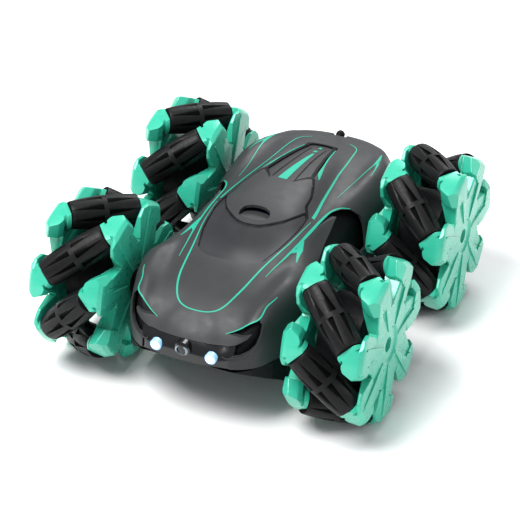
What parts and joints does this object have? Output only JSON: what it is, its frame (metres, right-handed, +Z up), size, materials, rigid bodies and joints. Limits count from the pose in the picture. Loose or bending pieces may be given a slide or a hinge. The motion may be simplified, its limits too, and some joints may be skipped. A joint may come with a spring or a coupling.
{
  "type": "remote-controlled stunt car with roller wheels",
  "caption": "Low remote-controlled stunt car with a grey sports-car shell, green faceted wheel frames and rubber barrel rollers set at 45 degrees, lamps, a roof hatch and a belly switch.",
  "frame": {"origin": "on the ground under the middle of the car", "axes": "+Z up, -Y towards the nose, +X towards the car's left wheels"},
  "size_m": [0.2252, 0.259, 0.11],
  "materials": {
    "shell_grey": "satin moulded plastic, dark grey",
    "black_plastic": "fine grain moulded plastic",
    "gloss_black": "gloss moulded plastic",
    "clear_lens": "clear polished plastic",
    "wheel_green": "pearl green moulded plastic",
    "roller_rubber": "grooved soft rubber",
    "steel": "plated steel",
    "motor_steel": "drawn steel can",
    "gear_white": "natural acetal",
    "board_green": "solder mask",
    "battery_wrap": "shrink wrap"
  },
  "bodies": {
    "car": {"body_shell": "shell_grey", "chassis_tub": "black_plastic", "front_grille": "gloss_black", "front_lenses": "clear_lens", "rear_vent_panel": "shell_grey", "tail_nozzle": "black_plastic", "drive_motors": "motor_steel", "circuit_board": "board_green", "battery_pack": "battery_wrap", "body_screws": "steel"},
    "wheel_front_left": {"wheel_inner_frame_front_left": "wheel_green", "wheel_outer_frame_front_left": "wheel_green", "wheel_fasteners_front_left": "steel", "output_gear_front_left": "black_plastic"},
    "motor_pinion_front_left": {"motor_pinion_front_left": "gear_white"},
    "roller_front_left_1": {"roller_front_left_1": "roller_rubber"},
    "roller_front_left_2": {"roller_front_left_2": "roller_rubber"},
    "roller_front_left_3": {"roller_front_left_3": "roller_rubber"},
    "roller_front_left_4": {"roller_front_left_4": "roller_rubber"},
    "roller_front_left_5": {"roller_front_left_5": "roller_rubber"},
    "roller_front_left_6": {"roller_front_left_6": "roller_rubber"},
    "roller_front_left_7": {"roller_front_left_7": "roller_rubber"},
    "wheel_front_right": {"wheel_inner_frame_front_right": "wheel_green", "wheel_outer_frame_front_right": "wheel_green", "wheel_fasteners_front_right": "steel", "output_gear_front_right": "black_plastic"},
    "motor_pinion_front_right": {"motor_pinion_front_right": "gear_white"},
    "roller_front_right_1": {"roller_front_right_1": "roller_rubber"},
    "roller_front_right_2": {"roller_front_right_2": "roller_rubber"},
    "roller_front_right_3": {"roller_front_right_3": "roller_rubber"},
    "roller_front_right_4": {"roller_front_right_4": "roller_rubber"},
    "roller_front_right_5": {"roller_front_right_5": "roller_rubber"},
    "roller_front_right_6": {"roller_front_right_6": "roller_rubber"},
    "roller_front_right_7": {"roller_front_right_7": "roller_rubber"},
    "wheel_rear_left": {"wheel_inner_frame_rear_left": "wheel_green", "wheel_outer_frame_rear_left": "wheel_green", "wheel_fasteners_rear_left": "steel", "output_gear_rear_left": "black_plastic"},
    "motor_pinion_rear_left": {"motor_pinion_rear_left": "gear_white"},
    "roller_rear_left_1": {"roller_rear_left_1": "roller_rubber"},
    "roller_rear_left_2": {"roller_rear_left_2": "roller_rubber"},
    "roller_rear_left_3": {"roller_rear_left_3": "roller_rubber"},
    "roller_rear_left_4": {"roller_rear_left_4": "roller_rubber"},
    "roller_rear_left_5": {"roller_rear_left_5": "roller_rubber"},
    "roller_rear_left_6": {"roller_rear_left_6": "roller_rubber"},
    "roller_rear_left_7": {"roller_rear_left_7": "roller_rubber"},
    "wheel_rear_right": {"wheel_inner_frame_rear_right": "wheel_green", "wheel_outer_frame_rear_right": "wheel_green", "wheel_fasteners_rear_right": "steel", "output_gear_rear_right": "black_plastic"},
    "motor_pinion_rear_right": {"motor_pinion_rear_right": "gear_white"},
    "roller_rear_right_1": {"roller_rear_right_1": "roller_rubber"},
    "roller_rear_right_2": {"roller_rear_right_2": "roller_rubber"},
    "roller_rear_right_3": {"roller_rear_right_3": "roller_rubber"},
    "roller_rear_right_4": {"roller_rear_right_4": "roller_rubber"},
    "roller_rear_right_5": {"roller_rear_right_5": "roller_rubber"},
    "roller_rear_right_6": {"roller_rear_right_6": "roller_rubber"},
    "roller_rear_right_7": {"roller_rear_right_7": "roller_rubber"},
    "hatch": {"roof_hatch": "shell_grey"},
    "switch": {"power_switch": "black_plastic"}
  },
  "joints": [
    {"name": "wheel_front_left_spin", "type": "hinge", "parent": "car", "child": "wheel_front_left", "pos_m": [0.088, -0.0684, 0.055], "axis": [1, 0, 0], "continuous": true},
    {"name": "motor_pinion_front_left_spin", "type": "hinge", "parent": "car", "child": "motor_pinion_front_left", "pos_m": [0.04, -0.0474, 0.055], "axis": [1, 0, 0], "continuous": true},
    {"name": "roller_front_left_1_spin", "type": "hinge", "parent": "wheel_front_left", "child": "roller_front_left_1", "pos_m": [0.088, -0.06299, 0.09907], "axis": [0.7071, -0.7018, 0.0862], "continuous": true},
    {"name": "roller_front_left_2_spin", "type": "hinge", "parent": "wheel_front_left", "child": "roller_front_left_2", "pos_m": [0.088, -0.09948, 0.08671], "axis": [0.7071, -0.505, -0.495], "continuous": true},
    {"name": "roller_front_left_3_spin", "type": "hinge", "parent": "wheel_front_left", "child": "roller_front_left_3", "pos_m": [0.088, -0.11257, 0.05047], "axis": [0.7071, 0.0722, -0.7034], "continuous": true},
    {"name": "roller_front_left_4_spin", "type": "hinge", "parent": "wheel_front_left", "child": "roller_front_left_4", "pos_m": [0.088, -0.0924, 0.01764], "axis": [0.7071, 0.5949, -0.3822], "continuous": true},
    {"name": "roller_front_left_5_spin", "type": "hinge", "parent": "wheel_front_left", "child": "roller_front_left_5", "pos_m": [0.088, -0.05415, 0.01295], "axis": [0.7071, 0.6697, 0.2269], "continuous": true},
    {"name": "roller_front_left_6_spin", "type": "hinge", "parent": "wheel_front_left", "child": "roller_front_left_6", "pos_m": [0.088, -0.02664, 0.03992], "axis": [0.7071, 0.2402, 0.6651], "continuous": true},
    {"name": "roller_front_left_7_spin", "type": "hinge", "parent": "wheel_front_left", "child": "roller_front_left_7", "pos_m": [0.088, -0.03057, 0.07825], "axis": [0.7071, -0.3702, 0.6024], "continuous": true},
    {"name": "wheel_front_right_spin", "type": "hinge", "parent": "car", "child": "wheel_front_right", "pos_m": [-0.088, -0.0684, 0.055], "axis": [1, 0, 0], "continuous": true},
    {"name": "motor_pinion_front_right_spin", "type": "hinge", "parent": "car", "child": "motor_pinion_front_right", "pos_m": [-0.04, -0.0474, 0.055], "axis": [1, 0, 0], "continuous": true},
    {"name": "roller_front_right_1_spin", "type": "hinge", "parent": "wheel_front_right", "child": "roller_front_right_1", "pos_m": [-0.088, -0.06299, 0.09907], "axis": [-0.7071, -0.7018, 0.0862], "continuous": true},
    {"name": "roller_front_right_2_spin", "type": "hinge", "parent": "wheel_front_right", "child": "roller_front_right_2", "pos_m": [-0.088, -0.09948, 0.08671], "axis": [-0.7071, -0.505, -0.495], "continuous": true},
    {"name": "roller_front_right_3_spin", "type": "hinge", "parent": "wheel_front_right", "child": "roller_front_right_3", "pos_m": [-0.088, -0.11257, 0.05047], "axis": [-0.7071, 0.0722, -0.7034], "continuous": true},
    {"name": "roller_front_right_4_spin", "type": "hinge", "parent": "wheel_front_right", "child": "roller_front_right_4", "pos_m": [-0.088, -0.0924, 0.01764], "axis": [-0.7071, 0.5949, -0.3822], "continuous": true},
    {"name": "roller_front_right_5_spin", "type": "hinge", "parent": "wheel_front_right", "child": "roller_front_right_5", "pos_m": [-0.088, -0.05415, 0.01295], "axis": [-0.7071, 0.6697, 0.2269], "continuous": true},
    {"name": "roller_front_right_6_spin", "type": "hinge", "parent": "wheel_front_right", "child": "roller_front_right_6", "pos_m": [-0.088, -0.02664, 0.03992], "axis": [-0.7071, 0.2402, 0.6651], "continuous": true},
    {"name": "roller_front_right_7_spin", "type": "hinge", "parent": "wheel_front_right", "child": "roller_front_right_7", "pos_m": [-0.088, -0.03057, 0.07825], "axis": [-0.7071, -0.3702, 0.6024], "continuous": true},
    {"name": "wheel_rear_left_spin", "type": "hinge", "parent": "car", "child": "wheel_rear_left", "pos_m": [0.088, 0.0684, 0.055], "axis": [1, 0, 0], "continuous": true},
    {"name": "motor_pinion_rear_left_spin", "type": "hinge", "parent": "car", "child": "motor_pinion_rear_left", "pos_m": [0.04, 0.0474, 0.055], "axis": [1, 0, 0], "continuous": true},
    {"name": "roller_rear_left_1_spin", "type": "hinge", "parent": "wheel_rear_left", "child": "roller_rear_left_1", "pos_m": [0.088, 0.07381, 0.09907], "axis": [0.7071, -0.7018, 0.0862], "continuous": true},
    {"name": "roller_rear_left_2_spin", "type": "hinge", "parent": "wheel_rear_left", "child": "roller_rear_left_2", "pos_m": [0.088, 0.03732, 0.08671], "axis": [0.7071, -0.505, -0.495], "continuous": true},
    {"name": "roller_rear_left_3_spin", "type": "hinge", "parent": "wheel_rear_left", "child": "roller_rear_left_3", "pos_m": [0.088, 0.02423, 0.05047], "axis": [0.7071, 0.0722, -0.7034], "continuous": true},
    {"name": "roller_rear_left_4_spin", "type": "hinge", "parent": "wheel_rear_left", "child": "roller_rear_left_4", "pos_m": [0.088, 0.0444, 0.01764], "axis": [0.7071, 0.5949, -0.3822], "continuous": true},
    {"name": "roller_rear_left_5_spin", "type": "hinge", "parent": "wheel_rear_left", "child": "roller_rear_left_5", "pos_m": [0.088, 0.08265, 0.01295], "axis": [0.7071, 0.6697, 0.2269], "continuous": true},
    {"name": "roller_rear_left_6_spin", "type": "hinge", "parent": "wheel_rear_left", "child": "roller_rear_left_6", "pos_m": [0.088, 0.11016, 0.03992], "axis": [0.7071, 0.2402, 0.6651], "continuous": true},
    {"name": "roller_rear_left_7_spin", "type": "hinge", "parent": "wheel_rear_left", "child": "roller_rear_left_7", "pos_m": [0.088, 0.10623, 0.07825], "axis": [0.7071, -0.3702, 0.6024], "continuous": true},
    {"name": "wheel_rear_right_spin", "type": "hinge", "parent": "car", "child": "wheel_rear_right", "pos_m": [-0.088, 0.0684, 0.055], "axis": [1, 0, 0], "continuous": true},
    {"name": "motor_pinion_rear_right_spin", "type": "hinge", "parent": "car", "child": "motor_pinion_rear_right", "pos_m": [-0.04, 0.0474, 0.055], "axis": [1, 0, 0], "continuous": true},
    {"name": "roller_rear_right_1_spin", "type": "hinge", "parent": "wheel_rear_right", "child": "roller_rear_right_1", "pos_m": [-0.088, 0.07381, 0.09907], "axis": [-0.7071, -0.7018, 0.0862], "continuous": true},
    {"name": "roller_rear_right_2_spin", "type": "hinge", "parent": "wheel_rear_right", "child": "roller_rear_right_2", "pos_m": [-0.088, 0.03732, 0.08671], "axis": [-0.7071, -0.505, -0.495], "continuous": true},
    {"name": "roller_rear_right_3_spin", "type": "hinge", "parent": "wheel_rear_right", "child": "roller_rear_right_3", "pos_m": [-0.088, 0.02423, 0.05047], "axis": [-0.7071, 0.0722, -0.7034], "continuous": true},
    {"name": "roller_rear_right_4_spin", "type": "hinge", "parent": "wheel_rear_right", "child": "roller_rear_right_4", "pos_m": [-0.088, 0.0444, 0.01764], "axis": [-0.7071, 0.5949, -0.3822], "continuous": true},
    {"name": "roller_rear_right_5_spin", "type": "hinge", "parent": "wheel_rear_right", "child": "roller_rear_right_5", "pos_m": [-0.088, 0.08265, 0.01295], "axis": [-0.7071, 0.6697, 0.2269], "continuous": true},
    {"name": "roller_rear_right_6_spin", "type": "hinge", "parent": "wheel_rear_right", "child": "roller_rear_right_6", "pos_m": [-0.088, 0.11016, 0.03992], "axis": [-0.7071, 0.2402, 0.6651], "continuous": true},
    {"name": "roller_rear_right_7_spin", "type": "hinge", "parent": "wheel_rear_right", "child": "roller_rear_right_7", "pos_m": [-0.088, 0.10623, 0.07825], "axis": [-0.7071, -0.3702, 0.6024], "continuous": true},
    {"name": "roof_hatch_hinge", "type": "hinge", "parent": "car", "child": "hatch", "pos_m": [0, 0.0335, 0.0971], "axis": [-1, 0, 0], "range_deg": [0, 75]},
    {"name": "power_switch_slide", "type": "slide", "parent": "car", "child": "switch", "axis": [1, 0, 0], "range_m": [0, 0.004]}
  ],
  "couplings": [
    {"joint": "motor_pinion_front_left_spin", "follows": "wheel_front_left_spin", "ratio": -4},
    {"joint": "motor_pinion_front_right_spin", "follows": "wheel_front_right_spin", "ratio": -4},
    {"joint": "motor_pinion_rear_left_spin", "follows": "wheel_rear_left_spin", "ratio": -4},
    {"joint": "motor_pinion_rear_right_spin", "follows": "wheel_rear_right_spin", "ratio": -4}
  ]
}
